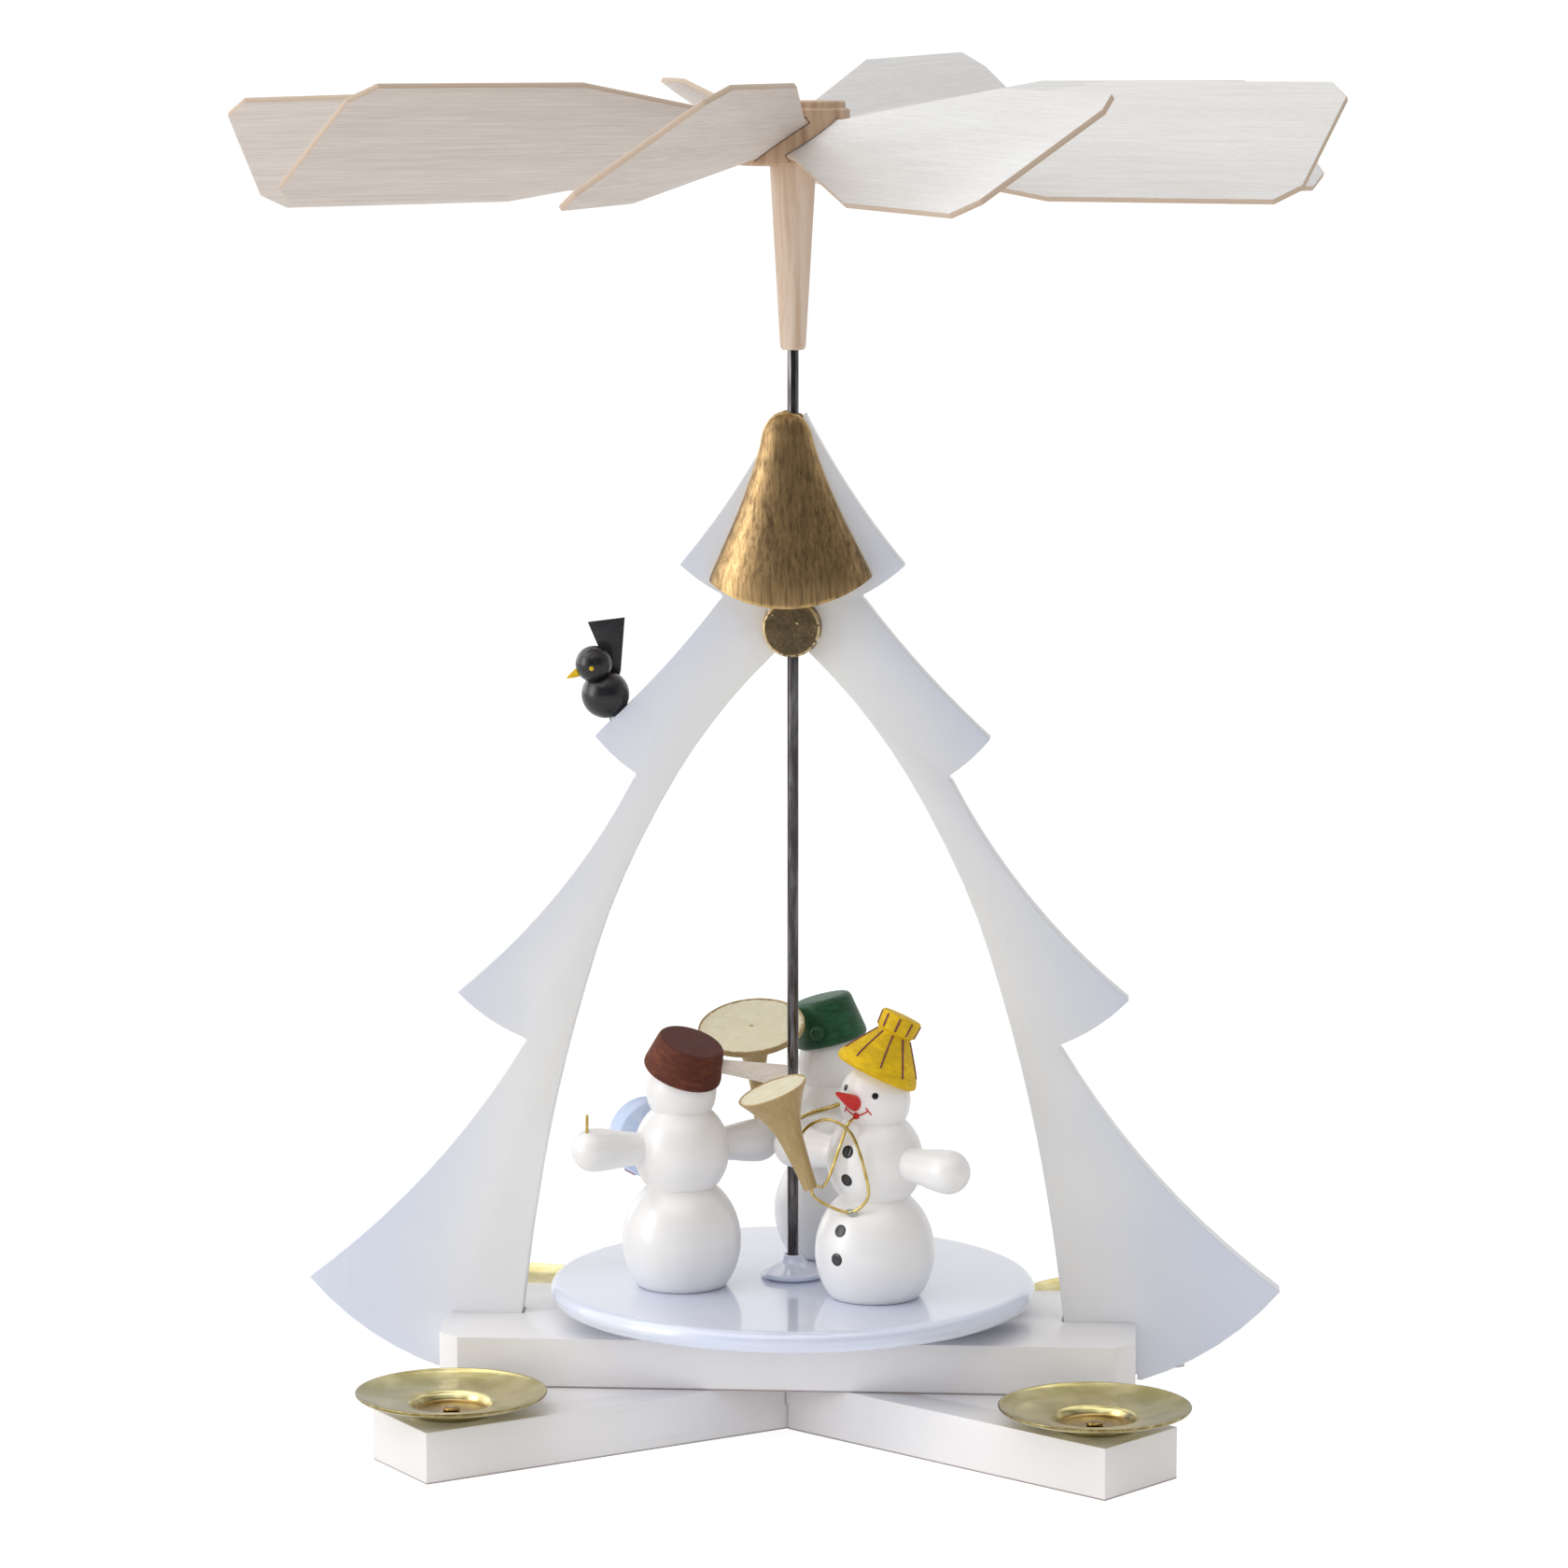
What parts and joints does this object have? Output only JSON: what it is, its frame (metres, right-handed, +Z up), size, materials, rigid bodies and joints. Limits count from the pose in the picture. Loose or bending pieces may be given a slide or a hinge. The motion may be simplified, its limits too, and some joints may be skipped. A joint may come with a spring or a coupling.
{
  "type": "christmas pyramid",
  "caption": "Table-top candle pyramid: a cut-out wooden tree on a slotted board and crossed bars, with a turntable of snowman musicians driven by a wing wheel.",
  "frame": {"origin": "on the floor in the middle of the cross, under the spindle", "axes": "X along the board and the cut-out tree, towards its right end; Y to the back; Z up along the spindle"},
  "size_m": [0.2036, 0.2065, 0.2541],
  "materials": {
    "white_lacquer": "satin white lacquer on wood",
    "snow_lacquer": "glossy white lacquer on turned wood",
    "pale_blue_lacquer": "glossy pale blue lacquer on wood",
    "gold_paint": "brushed gold paint on wood",
    "dish_brass": "polished brass sheet",
    "wire_brass": "bright brass wire",
    "spindle_steel": "drawn steel",
    "screw_steel": "zinc-plated steel",
    "bare_maple": "bare turned maple",
    "blade_wood": "bare thin maple",
    "black_paint": "glossy black paint on wood",
    "yellow_paint": "glossy yellow paint on wood",
    "brown_paint": "satin red-brown paint on wood",
    "green_paint": "glossy dark green paint on wood",
    "red_paint": "glossy red paint on wood",
    "blue_paint": "satin blue paint on wood",
    "horn_tan": "tan paint on turned wood with a cream face"
  },
  "bodies": {
    "frame": {"cross_bar_lower": "white_lacquer", "cross_bar_upper": "white_lacquer", "base_board": "white_lacquer", "board_screw_left": "screw_steel", "board_screw_right": "screw_steel", "tree_half_right": "white_lacquer", "tree_half_left": "white_lacquer", "guide_dowel": "gold_paint", "bell_half_front": "gold_paint", "bell_half_back": "gold_paint", "bird_body": "black_paint", "bird_head": "black_paint", "bird_tail": "black_paint", "bird_beak": "yellow_paint", "foot_bearing": "dish_brass", "candle_dish_front_left": "dish_brass", "dish_nail_front_left": "dish_brass", "candle_dish_front_right": "dish_brass", "dish_nail_front_right": "dish_brass", "candle_dish_back_left": "dish_brass", "dish_nail_back_left": "dish_brass", "candle_dish_back_right": "dish_brass", "dish_nail_back_right": "dish_brass"},
    "rotor": {"spindle": "spindle_steel", "turntable": "pale_blue_lacquer", "turntable_collar": "pale_blue_lacquer", "drum": "blue_paint", "drummer_stick": "wire_brass", "drummer_pot_handle": "bare_maple", "horn": "horn_tan", "tuba": "horn_tan", "horn_wire": "wire_brass", "tuba_wire": "wire_brass", "wheel_sleeve": "bare_maple", "wheel_hub": "bare_maple", "drummer_body": "snow_lacquer", "drummer_arm_left": "snow_lacquer", "drummer_arm_right": "snow_lacquer", "drummer_nose": "red_paint", "drummer_hat": "brown_paint", "horn_player_body": "snow_lacquer", "horn_player_arm_left": "snow_lacquer", "horn_player_arm_right": "snow_lacquer", "horn_player_nose": "red_paint", "horn_player_hat": "yellow_paint", "tuba_player_body": "snow_lacquer", "tuba_player_arm_left": "snow_lacquer", "tuba_player_arm_right": "snow_lacquer", "tuba_player_nose": "red_paint", "tuba_player_hat": "green_paint", "blade_1": "blade_wood", "blade_2": "blade_wood", "blade_3": "blade_wood", "blade_4": "blade_wood", "blade_5": "blade_wood", "blade_6": "blade_wood", "blade_7": "blade_wood", "blade_8": "blade_wood", "blade_9": "blade_wood"}
  },
  "joints": [
    {"name": "rotor_spin", "type": "hinge", "parent": "frame", "child": "rotor", "pos_m": [0, 0, 0.0193], "axis": [0, 0, 1], "continuous": true}
  ]
}
